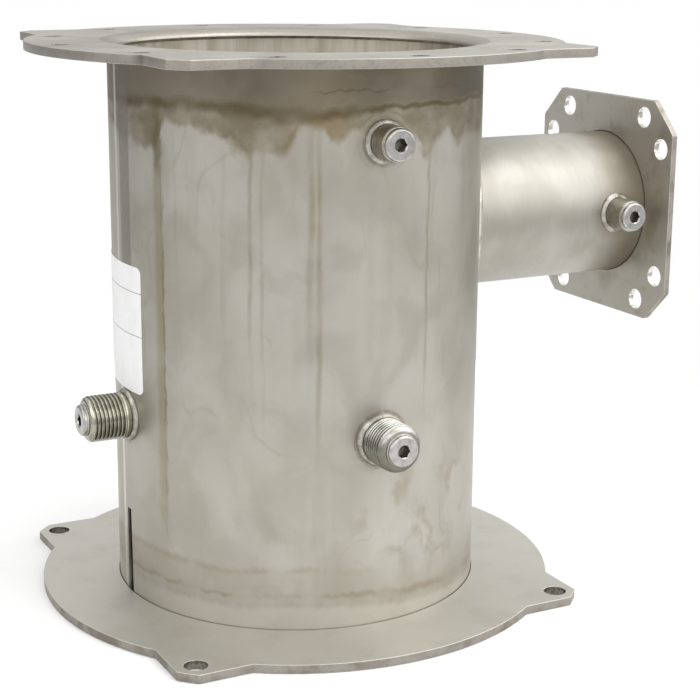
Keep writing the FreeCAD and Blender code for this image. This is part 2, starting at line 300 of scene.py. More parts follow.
def drip_marks(steel, around, colour):
    """Thin olive runs that hang from the heat tint."""
    wander = steel.grain(0.034, 2, (1, 1, 2.5), (2, 2, 9)) - 0.5
    wiggle = steel.grain(0.010, 2, (1, 1, 1.6), (5, 2, 3)) - 0.5
    ragged = steel.grain(0.0014, 2, (1, 1, 4), (4, 0, 1)) - 0.5
    patchy = 0.55 + steel.grain(0.018, 2, (1, 1, 1), (3, 6, 1)).above(0.36, 0.62) * 0.45
    off = around + wander * 2.6 + wiggle * 1.6 + ragged * 1.0
    marks = 0
    for angle, top, foot, width, strength in drips:
        reach = math.degrees(width * MM / shell_r)
        lower = steel.z.above(foot * MM - 0.030, foot * MM + 0.040)
        upper = steel.z.below(top * MM - 0.002, top * MM + 0.010)
        marks = marks + off.near(angle, reach) * lower * upper * strength
    colour = steel.mix(marks.capped() * patchy, colour, tone(126, 118, 90))

    # The wide run on the left, with a dark ragged edge on its right
    length = steel.z.above(0.020, 0.090) * steel.z.below(0.212, 0.224)
    across = around + wander * 1.2 + wiggle * 0.5
    run = across.above(-72.4, -69.6) * (across + ragged * 2.4).below(-68.2, -67.5) * length
    rim = (across + ragged * 2.4).near(-67.9, 0.9) * length
    colour = steel.mix(run * (0.30 + patchy * 0.35), colour, tone(140, 133, 103))
    return steel.mix(rim * (patchy - 0.35) * 0.8, colour, tone(112, 105, 80))


def inlet_heat(steel, around, colour):
    """Heat tint under the inlet flange: grey-brown, a dark burn line, then clouds with a scalloped edge."""
    swell = steel.grain(0.050, 2, (1, 1, 1), (9, 3, 1)) - 0.5
    fringe = steel.grain(0.007, 4, (1, 1, 1.2), (6, 6, 2)) - 0.5
    clumps = steel.grain(0.017, 4, (1, 1, 0.8), (2, 9, 5))
    mottle = steel.grain(0.006, 3, (1, 1, 1), (7, 1, 5))
    broad = steel.grain(0.030, 2, (1, 1, 0.8), (4, 4, 4))
    span = edge_high - edge_low
    stops = [((angle + 180) / 360, (height - edge_low) / span) for angle, height in heat_edge]
    edge = steel.node("ValToRGB", {"stops": stops}, {0: (around + fringe * 5 + 180) * (1 / 360)})
    hang = steel.z - (edge * (span * MM) + edge_low * MM) + fringe * 0.011
    clouds = hang.above(-0.0010 - broad * 0.0030, 0.0014 + broad * 0.0040)
    brown = steel.mix(clumps.above(0.34, 0.64), tone(150, 142, 124), tone(122, 113, 92))
    brown = steel.mix(mottle.above(0.45, 0.70) * 0.35, brown, tone(112, 102, 80))
    brown = steel.mix(hang.near(0.0030, 0.0040) * broad.above(0.44, 0.56) * 0.35, brown, tone(112, 101, 77))
    amber = around.near(-20, 15) * clumps.above(0.30, 0.54)
    brown = steel.mix(amber * 0.75, brown, tone(142, 121, 84))
    colour = steel.mix(clouds * (0.38 + clumps * 0.75).capped(), colour, brown)

    left = around.below(-22, 2) * around.above(-110, -90)
    level = steel.z + swell * 0.006 + fringe * 0.005 + left * (0.0004 + around.above(-60, -25) * 0.0026)
    upper = level.above(burn_line - 0.0016, burn_line + 0.0030)
    grey = steel.mix(broad.above(0.36, 0.62), tone(132, 125, 111), tone(117, 109, 94))
    grey = steel.mix(mottle.above(0.48, 0.72) * 0.30, grey, tone(142, 134, 118))
    crackle = (steel.z + swell * 0.010 + fringe * 0.006).near(0.2362, 0.0007)
    seen = (around.near(-10, 16) + broad.above(0.52, 0.60) * 0.6).capped()
    grey = steel.mix(around.near(-20, 16) * 0.45, grey, tone(150, 138, 118))
    grey = steel.mix(around.above(12, 36) * around.below(60, 90) * 0.88, grey, tone(94, 88, 74))
    grey = steel.mix(crackle * seen * 0.45, grey, tone(82, 72, 56))
    colour = steel.mix(upper * 0.94, colour, grey)
    start = (around + fringe * 5).near(-70.0, 2.6) * steel.z.above(0.196, 0.206) * steel.z.below(0.224, 0.230)
    colour = steel.mix(start * 0.60, colour, tone(102, 94, 72))
    burn = abs(level - burn_line).below(0.0002, 0.0012 + left * 0.0028 + broad * 0.0010)
    return steel.mix(burn * (0.40 + clumps * 0.8).capped() * 0.90, colour, tone(94, 83, 59))


def foot_heat(steel, around, colour):
    """Faint heat tint above the outlet flange, between two broken lines, over a pale strip at the foot that
    is brushed clean and also a painted highlight.
    """
    swell = steel.grain(0.050, 2, (1, 1, 1), (2, 7, 1)) - 0.5
    fringe = steel.grain(0.004, 3, (1, 1, 2.5), (5, 1, 2)) - 0.5
    patchy = steel.grain(0.020, 3, (1, 1, 0.6), (8, 1, 1)).above(0.36, 0.60)
    front_slope = around.above(-45, 45) * 0.0045
    level = steel.z + front_slope + swell * 0.007 + fringe * 0.004
    ring = level.above(0.0180, 0.0205) * level.below(0.0270, 0.0330)
    left = around.below(-20, 5)
    lines = level.near(0.0305, 0.0026) * left * 0.7 + level.near(0.0192, 0.0034 - left * 0.0018)
    colour = steel.mix(ring * left * (0.10 + patchy * 0.18), colour, tone(150, 142, 119))
    colour = steel.mix((lines * (0.20 + patchy * 0.80)).capped() * 0.50, colour, tone(136, 127, 104))
    # Pale strip at the foot: brushed clean, and a painted highlight where the shell meets the plate
    return steel.mix(level.below(0.0120, 0.0155) * 0.50, colour, tone(196, 193, 184))


def weld_halos(steel, colour):
    """Thin dark toe lines and a faint glow of heat round the welds."""
    broken = steel.grain(0.005, 2, (1, 1, 1), (3, 3, 7)).above(0.36, 0.60)
    front_half = steel.y.below(-0.02, 0.0)
    right_half = steel.x.above(0.0, 0.02)
    left_half = steel.x.below(-0.02, 0.0)
    halo = 0
    for name, across, half in (
        ("upper_tap", steel.x, front_half),
        ("front_tap", steel.x, front_half),
        ("left_tap", steel.y, left_half),
    ):
        tap = taps[name]
        off = steel.distance(across, steel.z - tap.height)
        toe = off.near(tap.toe_r + 0.0006, 0.0009) * (0.10 + broken * 0.45)
        glow = off.below(tap.toe_r, tap.toe_r + 0.0050) * 0.08
        halo = halo + (toe + glow) * half
    off = steel.distance(steel.y, steel.z - gas_height)
    halo = halo + off.below(gas_r + 0.002, gas_r + 0.010) * 0.15 * right_half
    return steel.mix(halo.capped(), colour, tone(120, 111, 92))


def cleaned_disc(steel, colour):
    """Disc round the upper tap that was ground clean before welding, inside a thin scribed arc."""
    tap = taps["upper_tap"]
    front_half = steel.y.below(-0.02, 0.0)
    broken = steel.grain(0.014, 2, (1, 1, 1), (6, 1, 4)).above(0.46, 0.60)
    off = steel.distance(steel.x, steel.z - tap.height)
    disc = off.below(tap.toe_r + 0.0010, tap.toe_r + 0.0040) * front_half
    colour = steel.mix(disc * 0.30, colour, tone(170, 165, 153))
    arc = off.near(tap.toe_r + 0.0030, 0.0006) * broken * front_half
    return steel.mix(arc * 0.40, colour, tone(112, 104, 86))


def shell_finish():
    """Rolled sheet with its ground seam and a painted highlight along it, heat tint at both ends, runs
    between, and painted shade deep in the bore.
    """
    steel = Finish("pickled_shell_sheet")
    around = steel.around()
    colour = clean_sheet(steel)
    colour = splash_marks(steel, around, colour)
    colour = drip_marks(steel, around, colour)
    colour = foot_heat(steel, around, colour)
    colour = inlet_heat(steel, around, colour)
    colour = cleaned_disc(steel, colour)
    colour = weld_halos(steel, colour)

    # The long seam on the left: a duller strip, beside a bright stripe that is ground clean and painted as a
    # highlight
    speckle = steel.grain(0.0015, 2, (1, 1, 3), (1, 1, 1))
    stripe = around.near(-94.2, 1.7)
    strip = around.above(-91.6, -90.6) * around.below(-84.6, -83.6) * steel.z.above(0.08, 0.17)
    colour = steel.mix(strip * (0.35 + speckle * 0.45), colour, tone(122, 117, 111))
    colour = steel.mix(stripe * 0.7, colour, tone(214, 212, 206))

    # The bore is pale at the mouth and painted dark lower down round the liner, as shade deep in the tube
    inside = steel.distance(steel.x, steel.y).below(shell_r - 0.0016, shell_r - 0.0004)
    runs = steel.grain(0.006, 3, (1, 1, 9), (2, 2, 2))
    bore = steel.mix(runs.above(0.35, 0.70), tone(200, 195, 184), tone(172, 166, 152))
    bore = steel.mix(steel.z.below(0.19, 0.21), bore, tone(84, 80, 72))
    colour = steel.mix(inside, colour, bore)

    fine = steel.grain(0.0006, 2)
    dull = steel.grain(0.030, 3, (1, 1, 1.4), (6, 2, 8))
    roughness = 0.36 + dull * 0.14 + fine * 0.06 - stripe * 0.08
    waves = steel.grain(0.034, 1, (1, 1, 3), (5, 5, 5))
    normal = steel.bump(waves, 0.00014)
    normal = steel.bump(fine, 0.000006, normal)
    return steel.bare_metal(colour, roughness, normal)


def plate_finish(name, across, rough, stain, face, light, dark):
    """Stained satin plate; its cut edges are mottled and carry the cutter's fine lines across the plate."""
    steel = Finish(name)
    facing = steel.node("NewGeometry").output("Normal")
    axes = steel.node("SeparateXYZ", sockets={0: facing})
    edge = abs(axes.output(across)).below(0.30, 0.50)
    clouds = steel.grain(0.045, 3, warp=0.6)
    smears = steel.grain(0.018, 4, shift=(5, 2, 3))
    spots = steel.grain(0.007, 3, shift=(2, 4, 1))
    fine = steel.grain(0.0006, 2)
    mottle = steel.grain(0.0090, 3, shift=(8, 3, 2))
    specks = steel.grain(0.0013, 3, shift=(3, 8, 1))
    thin = {"X": (14, 1, 1), "Z": (1, 1, 14)}[across]
    lines = steel.grain(0.0012, 2, thin, (1, 1, 1))
    brown = tone(158, 150, 135)
    colour = steel.mix(clouds.above(0.3, 0.7) * 0.6, face, tone(200, 197, 189))
    colour = steel.mix(smears.above(0.48, 0.72) * stain, colour, brown)
    colour = steel.mix(spots.above(0.58, 0.80) * stain * 0.8, colour, brown)
    lip = steel.distance(steel.x, steel.y).below(lip_r - 0.0015, lip_r) * steel.z.above(0.20, 0.21)
    colour = steel.mix(lip * (0.35 + specks * 0.50), colour, tone(140, 134, 121))
    cut = steel.mix(mottle.above(0.40, 0.70), light, dark)
    cut = steel.mix(specks.above(0.52, 0.70) * 0.22, cut, tone(96, 90, 79))
    cut = steel.mix(lines.above(0.52, 0.78) * 0.12, cut, tone(118, 112, 101))
    colour = steel.mix(edge, colour, cut)
    roughness = rough + clouds * 0.14 + fine * 0.06
    normal = steel.bump(fine, 0.000006)
    normal = steel.bump((lines * 0.5 + mottle) * edge, 0.00002, normal)
    return steel.bare_metal(colour, roughness, normal)


def drilled_finish(name, light, dark, rough):
    """Wall of a drilled hole."""
    steel = Finish(name)
    marks = steel.grain(0.0012, 2)
    colour = steel.mix(marks.above(0.4, 0.7), light, dark)
    return steel.bare_metal(colour, rough + marks * 0.14)


def gas_pipe_finish():
    """Drawn tube, brushed round, browned near its flange and its root."""
    steel = Finish("drawn_gas_tube")
    clouds = steel.grain(0.026, 4, warp=0.4)
    brushed = steel.grain(0.0008, 2, (1, 12, 12))
    bands = steel.grain(0.006, 3, (1, 5, 5), (3, 3, 3))
    smudges = steel.grain(0.016, 3, shift=(4, 1, 6))
    colour = steel.mix(clouds.above(0.34, 0.66), tone(163, 160, 151), tone(178, 175, 168))
    colour = steel.mix(bands.above(0.46, 0.70) * 0.20, colour, tone(157, 152, 142))
    colour = steel.mix(brushed.above(0.40, 0.75) * 0.07, colour, tone(146, 141, 131))
    near_flange = (steel.x + (smudges - 0.5) * 0.022).above(gas_end - 0.030, gas_end - 0.006)
    near_root = (steel.x - (smudges - 0.5) * 0.012).below(shell_r + 0.002, shell_r + 0.014)
    colour = steel.mix(near_flange * 0.60, colour, tone(138, 127, 108))
    colour = steel.mix(near_root * 0.12, colour, tone(150, 142, 126))
    tap = taps["pipe_tap"]
    off = steel.distance(steel.x - tap.centre.x, steel.z - tap.height)
    glow = off.below(tap.toe_r, tap.toe_r + 0.006) * steel.y.below(-0.01, 0.0)
    colour = steel.mix(glow * 0.30, colour, tone(134, 124, 104))
    roughness = 0.43 + clouds * 0.12 + brushed * 0.03
    normal = steel.bump(brushed, 0.0000025)
    return steel.bare_metal(colour, roughness, normal)


def liner_finish():
    """Spun sheet with the faint rings that the forming roller leaves."""
    steel = Finish("spun_liner_sheet")
    rings = steel.grain(0.0022, 3, (60, 60, 1))
    clouds = steel.grain(0.035, 3, warp=0.5)
    colour = steel.mix(clouds.above(0.3, 0.7), tone(186, 182, 172), tone(202, 198, 189))
    colour = steel.mix(rings.above(0.5, 0.75) * 0.2, colour, tone(164, 158, 147))
    roughness = 0.34 + clouds * 0.12 + rings * 0.08
    normal = steel.bump(rings, 0.00005)
    return steel.bare_metal(colour, roughness, normal)


def boss_finish():
    """Turned bar with fine tool lines round its axis, which runs to the front."""
    steel = Finish("turned_boss")
    tool = steel.lines(steel.y, 0.0004)
    smears = steel.grain(0.004, 3)
    dark = tone(152, 147, 134)
    colour = steel.mix(smears.above(0.35, 0.7), tone(172, 168, 156), dark)
    colour = steel.mix(tool.above(0.5, 0.8) * 0.20, colour, dark)
    roughness = 0.34 + tool * 0.06 + smears * 0.08
    normal = steel.bump(tool, 0.000003)
    return steel.bare_metal(colour, roughness, normal)


def thread_finish(tap, along, light, dark, rough, grime):
    """Turned nipple with bright thread crests; its grooves are painted darker as grime and shade, and its
    underside darker as painted shade.
    """
    steel = Finish(tap.name + "_turned_thread")
    position, across = {"X": (steel.x, steel.y), "Y": (steel.y, steel.x)}[along]
    off = steel.distance(across, steel.z - tap.height)
    tool = steel.lines(position, 0.0004)
    smears = steel.grain(0.004, 3)
    groove = off.below(tap.radius - 0.9 * thread_depth, tap.radius - 0.2 * thread_depth)
    threaded = abs(position).above(tap.tube_r + 2.6 * MM, tap.tube_r + 3.4 * MM)
    plain_end = abs(position).above(tap.end - 2.6 * MM, tap.end - 1.8 * MM)
    under = (steel.z - tap.height).below(-0.4 * tap.radius, 0.9 * tap.radius)
    colour = steel.mix(smears.above(0.35, 0.7), light, dark)
    # Painted shade: the nipple's underside is darkened
    colour = steel.mix(under * grime, colour, tone(102, 99, 84))
    # The thread's grooves are darkened, as grime and as painted shade
    colour = steel.mix(groove * threaded * (1 - plain_end) * grime, colour, tone(92, 88, 72))
    roughness = rough + tool * 0.06 + smears * 0.08
    normal = steel.bump(tool, 0.000003)
    return steel.bare_metal(colour, roughness, normal)


def plug_finish(tap):
    """Bright turned plug, with rings on its face round the plug's own axis."""
    steel = Finish(tap.name + "_bright_plug")
    across = steel.y - tap.centre.y if tap.name == "left_tap" else steel.x - tap.centre.x
    off = steel.distance(across, steel.z - tap.height)
    rings = steel.lines(off, 0.0005)
    smears = steel.grain(0.003, 3)
    colour = steel.mix(smears.above(0.35, 0.7), tone(184, 183, 180), tone(158, 156, 151))
    colour = steel.mix(rings.above(0.45, 0.75) * 0.30, colour, tone(140, 138, 133))
    roughness = 0.22 + rings * 0.08 + smears * 0.12
    normal = steel.bump(rings, 0.000010)
    return steel.bare_metal(colour, roughness, normal)


def socket_finish():
    """Broached walls of a hex recess, painted dark as shade inside it."""
    steel = Finish("broached_hex_wall")
    marks = steel.grain(0.0010, 3)
    colour = steel.mix(marks.above(0.40, 0.70), tone(136, 133, 126), tone(84, 81, 74))
    return steel.bare_metal(colour, 0.22 + marks * 0.2)


def socket_floor_finish():
    """Floor of a hex recess, painted darker than the plug as shade inside it."""
    steel = Finish("oiled_hex_floor")
    grime = steel.grain(0.0012, 3)
    colour = steel.mix(grime.above(0.45, 0.75), tone(150, 147, 140), tone(108, 105, 98))
    return steel.bare_metal(colour, 0.40 + grime * 0.2)


def washer_finish():
    """Soft sealing ring, plain and slightly dulled."""
    ring = Finish("soft_seal_ring")
    smears = ring.grain(0.0025, 3)
    colour = ring.mix(smears.above(0.35, 0.7), tone(212, 209, 203), tone(172, 168, 160))
    return ring.bare_metal(colour, 0.26 + smears * 0.16)


def weld_finish(name, light, dark):
    """Cleaned weld: light and darker patches with small brown specks."""
    bead = Finish(name)
    specks = bead.grain(0.0010, 3)
    smears = bead.grain(0.005, 3, shift=(1, 2, 3))
    colour = bead.mix(smears.above(0.38, 0.62), light, dark)
    colour = bead.mix(specks.above(0.56, 0.74) * 0.40, colour, tone(108, 100, 84))
    roughness = 0.32 + smears * 0.18 + specks * 0.10
    normal = bead.bump(specks, 0.00010)
    return bead.bare_metal(colour, roughness, normal)


def label_finish():
    """White film, ruled into empty fields."""
    film = Finish("white_label_film")
    low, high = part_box("rating_label")
    fibre = film.grain(0.0009, 2)
    grime = film.grain(0.014, 3)
    colour = film.mix(grime.above(0.45, 0.8) * 0.5, tone(224, 224, 224), tone(208, 207, 204))
    rules = 0
    for share in (0.80, 0.46):
        rules = rules + film.z.near(low.z + (high.z - low.z) * share, 0.00035)
    colour = film.mix(rules.capped() * 0.8, colour, tone(84, 84, 84))
    roughness = 0.40 + fibre * 0.10 + grime * 0.06
    return film.surface(Base_Color=colour, Roughness=roughness, Normal=film.bump(fibre, 0.000008))


def floor_finish():
    """Pale paper."""
    paper = Finish("pale_studio_floor")
    fibre = paper.grain(0.002, 2)
    colour = paper.mix(fibre, tone(229, 229, 229), tone(233, 233, 233))
    return paper.surface(Base_Color=colour, Roughness=0.85 + fibre * 0.1)


# Pieces


class Tap:
    """Stub on a tube. In its own space Z runs out along the stub, X along the tube, from the tube's axis."""

    def __init__(self, stub_node, out, tube_axis, tube_r, bead_out, bead_up):
        self.stub_node = stub_node
        self.name = stub_node.rsplit("_", 1)[0]
        self.tube_r = tube_r
        self.bead_out = bead_out
        self.bead_up = bead_up
        low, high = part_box(stub_node)
        middle = (low + high) / 2
        self.height = middle.z
        self.centre = middle - out * middle.dot(out)
        self.radius = (high.z - low.z) / 2
        self.end = max(low.dot(out), high.dot(out))
        self.root_r = self.radius
        self.toe_r = self.root_r + bead_out
        side = out.cross(tube_axis)
        turn = Matrix((tube_axis, side, out)).transposed().to_4x4()
        self.to_part = Matrix.Translation(self.centre) @ turn

    def set_root(self, root_r):
        """A root that is slimmer than the rest of the stub."""
        self.root_r = root_r
        self.toe_r = root_r + self.bead_out

    def skin(self, across):
        """Height of the tube's skin at a distance to the side of its axis."""
        return math.sqrt(max(self.tube_r ** 2 - across ** 2, 0))


def placed(name, data):
    """New object in the scene."""
    thing = bpy.data.objects.new(name, data)
    bpy.context.scene.collection.objects.link(thing)
    return thing


def finished(name, bm, materials, replaced):
    """Makes a bmesh a piece of the object, in place of the CAD nodes that it stands for."""
    mesh = bpy.data.meshes.new(name)
    bm.to_mesh(mesh)
    bm.free()
    if "custom_normal" in mesh.attributes:
        mesh.attributes.remove(mesh.attributes["custom_normal"])
    for material in materials:
        mesh.materials.append(material)
    for face in mesh.polygons:
        face.use_smooth = True
    piece = placed(name, mesh)
    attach(piece, "root")
    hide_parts(*replaced)
    return piece


def even_normals(piece):
    """Keeps flat faces flat beside their eased edges."""
    even = piece.modifiers.new("Even normals", "WEIGHTED_NORMAL")
    even.mode = "FACE_AREA"
    even.keep_sharp = False


# Sizes of eased edges, of holes that count as drilled, of the plugs' hex recess and of what is joined
plate_round = 0.30 * MM
plug_round = 0.10 * MM
washer_round = 0.20 * MM
drilled_reach = 15 * MM
recess_depth = 6 * MM
recess_mouth = 0.8 * MM
recess_r = 3 * MM
sharp_angle = math.radians(35)
flat_angle = math.radians(0.5)
same_spot = 0.001 * MM


def joined_copy(node):
    """Bmesh of a CAD node, with its loose triangles joined into whole faces."""
    bm = bmesh.new()
    bm.from_mesh(nodes[node].data)
    bmesh.ops.remove_doubles(bm, verts=bm.verts, dist=same_spot)
    bmesh.ops.dissolve_limit(bm, angle_limit=flat_angle, verts=bm.verts, edges=bm.edges)
    for edge in bm.edges:
        edge.smooth = True
    return bm


def ease_edges(bm, round_size):
    """Rounds the sharp edges."""
    sharp = [e for e in bm.edges if e.is_manifold and e.calc_face_angle() > sharp_angle]
    bmesh.ops.bevel(
        bm, geom=sharp, offset=round_size, offset_type="OFFSET", affect="EDGES",
        segments=2, profile=0.5, material=-1, clamp_overlap=True,
    )


def mark_drilled(bm, across):
    """Gives the walls of small holes the second material."""
    walls = {face for face in bm.faces if abs(face.normal.dot(across)) < 0.5}
    while walls:
        group = [walls.pop()]
        for face in group:
            for edge in face.edges:
                for beside in edge.link_faces:
                    if beside in walls:
                        walls.remove(beside)
                        group.append(beside)
        first = group[0].calc_center_median()
        if max((face.calc_center_median() - first).length for face in group) < drilled_reach:
            for face in group:
                face.material_index = 1


def flange(node, across, material, wall, name):
    """Flange plate with drilled holes and eased edges."""
    bm = joined_copy(node)
    mark_drilled(bm, across)
    ease_edges(bm, plate_round)
    piece = finished(name, bm, [material, wall], [node])
    even_normals(piece)


def socket_plug(tap):
    """Plug with an eased head; its hex recess has walls and a floor of their own, painted dark as shade."""
    node = tap.name + "_plug"
    bm = joined_copy(node)
    low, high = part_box(node)
    out = tap.to_part.to_3x3() @ UP
    face_end = max(low.dot(out), high.dot(out))
    for face in bm.faces:
        spot = tap.to_part.inverted() @ face.calc_center_median()
        in_recess = face_end - recess_depth < spot.z < face_end - recess_mouth
        if in_recess and math.hypot(spot.x, spot.y) < recess_r:
            faces_out = face.normal.dot(out) > 0.7
            face.material_index = 2 if faces_out else 1
    ease_edges(bm, plug_round)
    materials = [plug_finish(tap), hex_wall, hex_floor]
    piece = finished(tap.name + "_socket_plug", bm, materials, [node])
    even_normals(piece)


def seal_washer(tap):
    """Flat ring under a plug's head."""
    node = tap.name + "_washer"
    bm = joined_copy(node)
    ease_edges(bm, washer_round)
    piece = finished(tap.name + "_seal_washer", bm, [washer_metal], [node])
    even_normals(piece)


def spun(section, steps):
    """Turns a closed section of (radius, height) points about Z."""
    seam_gap = 0.0005 * MM
    bm = bmesh.new()
    corners = [bm.verts.new((radius, 0, height)) for radius, height in section]
    edges = [bm.edges.new(pair) for pair in zip(corners, corners[1:] + corners[:1])]
    bmesh.ops.spin(
        bm, geom=corners + edges, cent=(0, 0, 0), axis=UP, angle=2 * math.pi, steps=steps, use_merge=True,
    )
    bmesh.ops.remove_doubles(bm, verts=bm.verts, dist=seam_gap)
    bmesh.ops.recalc_face_normals(bm, faces=bm.faces)
    return bm


# Nipples with a half-inch pipe thread, and bosses
thread_pitch = 1.814 * MM
thread_depth = 1.162 * MM
thread_flat = 0.12
collar_length = 3.0 * MM
collar_r = 10.2 * MM
nipple_round = 3.0 * MM
tap_bore_r = 4.96 * MM
boss_round = 0.5 * MM
boss_foot = 2 * MM
stub_steps = 128

# Gap between a stub's foot and its tube, and the slack that tells the foot's points from the rest
foot_gap = 0.02 * MM
slack = 0.01 * MM


def held(value, low=0, high=1):
    """A number kept between two limits."""
    return min(max(value, low), high)


def thread_cut(turns):
    """Depth of the thread, 0 at a crest and 1 at a root, after a number of turns."""
    ridge = abs(2 * (turns % 1) - 1)
    flank = held((ridge - thread_flat) / (1 - 2 * thread_flat))
    return flank * flank * (3 - 2 * flank)


def cope_foot(bm, tap):
    """Shapes a stub's foot to the skin of its tube."""
    for vert in bm.verts:
        if vert.co.z < tap.tube_r + slack:
            vert.co.z = tap.skin(vert.co.y) + foot_gap


def threaded_nipple(tap, material):
    """Nipple with its cut thread, plain collar and rounded end."""
    rows_per_pitch = 28
    collar_top = tap.tube_r + collar_length
    round_start = tap.end - nipple_round
    rows = int((tap.end - collar_top) / thread_pitch * rows_per_pitch)
    section = [(tap_bore_r, tap.tube_r), (collar_r, tap.tube_r), (collar_r, collar_top)]
    for row in range(rows + 1):
        section.append((tap.radius, collar_top + (tap.end - collar_top) * row / rows))
    section.append((tap_bore_r, tap.end))
    bm = spun(section, stub_steps)
    for vert in bm.verts:
        radius = math.hypot(vert.co.x, vert.co.y)
        if radius > collar_r + slack:
            turns = (vert.co.z - tap.end) / thread_pitch - math.atan2(vert.co.y, vert.co.x) / (2 * math.pi)
            run_out = held((vert.co.z - collar_top) / thread_pitch)
            wanted = tap.radius - thread_depth * thread_cut(turns) * run_out
            into_round = held(vert.co.z - round_start, 0, nipple_round)
            narrowing = nipple_round - math.sqrt(nipple_round ** 2 - into_round ** 2)
            vert.co.xy *= min(wanted, tap.radius - narrowing) / radius
    cope_foot(bm, tap)
    bm.transform(tap.to_part)
    piece = finished(tap.name + "_threaded_nipple", bm, [material], [tap.stub_node])
    even_normals(piece)


def plain_boss(tap, material):
    """Round boss with an eased rim."""
    section = [
        (tap_bore_r, tap.tube_r),
        (tap.radius, tap.tube_r),
        (tap.radius, tap.tube_r + boss_foot),
        (tap.radius, tap.end - 2 * boss_round),
        (tap.radius, tap.end - boss_round),
        (tap.radius - 0.15 * boss_round, tap.end - 0.5 * boss_round),
        (tap.radius - 0.5 * boss_round, tap.end - 0.15 * boss_round),
        (tap.radius - boss_round, tap.end),
        (tap.radius - 2 * boss_round, tap.end),
        (tap_bore_r, tap.end),
    ]
    bm = spun(section, stub_steps)
    cope_foot(bm, tap)
    bm.transform(tap.to_part)
    piece = finished(tap.name + "_turned_boss", bm, [material], [tap.stub_node])
    even_normals(piece)


# Weld beads: length of a ripple on taps and on rings, height of the ripples, depth of the hidden root
tap_ripple = 1.7 * MM
ring_ripple = 2.6 * MM
ripple_height = 0.14 * MM
bead_sink = 0.15 * MM


def ripple(turn, across, count, seed):
    """Height of a weld's overlapping crescents, about -1 to 1, at an angle and a share across the bead."""
    lag = 0.9 * (2 * across - 1) ** 2
    wander = 0.8 * noise.noise((math.cos(turn) * 3, math.sin(turn) * 3, seed))
    phase = (turn / (2 * math.pi) * count - lag + wander) % 1
    fall = 0.85
    slope = 1.4
    lowest = 1 - fall * slope
    crescent = 1 - phase * slope
    if phase >= fall:
        crescent = lowest + (1 - lowest) * (phase - fall) / (1 - fall)
    lump_ring = count / 9
    lumps = noise.noise((math.cos(turn) * lump_ring, math.sin(turn) * lump_ring, seed + across))
    return 0.6 * crescent + 0.8 * lumps


def tap_bead(tap, node, material, seed):
    """Low weld bead in the corner between a stub and its tube."""
    rows = 12
    steps_per_ripple = 6
    quarter = math.pi / 2
    section = [(tap.root_r - bead_sink, -bead_sink)]
    for row in range(rows + 1):
        turn = quarter * row / rows
        section.append((tap.root_r + tap.bead_out * math.cos(turn), tap.bead_up * math.sin(turn)))
    count = round(2 * math.pi * tap.toe_r / tap_ripple)
    bm = spun(section, count * steps_per_ripple)
    for vert in bm.verts:
        turn = math.atan2(vert.co.y, vert.co.x)
        out = math.hypot(vert.co.x, vert.co.y) - tap.root_r
        up = vert.co.z
        if out > -bead_sink / 2:
            across = math.atan2(up / tap.bead_up, out / tap.bead_out) / quarter
            swell = 1 + 0.14 * noise.noise((math.cos(turn) * 2, math.sin(turn) * 2, seed + 7))
            lift = ripple_height * ripple(turn, across, count, seed) * math.sin(math.pi * held(across))
            out = out * swell + lift * math.cos(across * quarter)
            up = up * swell + lift * math.sin(across * quarter)
        vert.co.x = math.cos(turn) * (tap.root_r + out)
        vert.co.y = math.sin(turn) * (tap.root_r + out)
        vert.co.z = up + tap.skin(vert.co.y)
    bm.transform(tap.to_part)
    finished(tap.name + "_bead", bm, [material], [node])


def ring_bead(node, inner, outer, crown, to_part, seed):
    """Weld bead round a ring, between two toes given as (radius, height), crowned to one side."""
    rows = 10
    steps_per_ripple = 4
    sunk_share = 0.3
    ripple_share = 0.10
    inner, outer, crown = Vector(inner), Vector(outer), Vector(crown)
    across = outer - inner
    middle = (inner + outer) / 2
    count = round(2 * math.pi * middle.x / ring_ripple)
    section = [middle - crown * sunk_share]
    for row in range(rows + 1):
        share = row / rows
        section.append(inner + across * share + crown * math.sin(math.pi * share))
    bm = spun(section, count * steps_per_ripple)
    for vert in bm.verts:
        radius = math.hypot(vert.co.x, vert.co.y)
        turn = math.atan2(vert.co.y, vert.co.x)
        here = Vector((radius, vert.co.z))
        share = (here - inner).dot(across) / across.length_squared
        height = (here - inner - across * share).dot(crown)
        if height > 0:
            fade = math.sin(math.pi * held(share))
            here += crown * (ripple_share * ripple(turn, share, count, seed) * fade)
        vert.co.xy *= here.x / radius
        vert.co.z = here.y
    bm.transform(to_part)
    finished(node.replace("_weld", "_bead"), bm, [weld], [node])


taps = {
    "upper_tap": Tap("upper_tap_boss", FRONT, UP, shell_r, bead_out=2.0 * MM, bead_up=1.4 * MM),
    "pipe_tap": Tap("pipe_tap_boss", FRONT, GAS_OUT, gas_r, bead_out=2.2 * MM, bead_up=1.5 * MM),
    "left_tap": Tap("left_tap_nipple", LEFT, UP, shell_r, bead_out=1.8 * MM, bead_up=1.7 * MM),
    "front_tap": Tap("front_tap_nipple", FRONT, UP, shell_r, bead_out=1.8 * MM, bead_up=2.4 * MM),
}
taps["left_tap"].set_root(collar_r)
taps["front_tap"].set_root(collar_r)
gas_joint = Tap("gas_pipe", GAS_OUT, UP, shell_r, bead_out=3.0 * MM, bead_up=2.6 * MM)

bright_cut = tone(164, 159, 150)
dark_cut = tone(155, 151, 144)
dull_cut = tone(130, 124, 113)
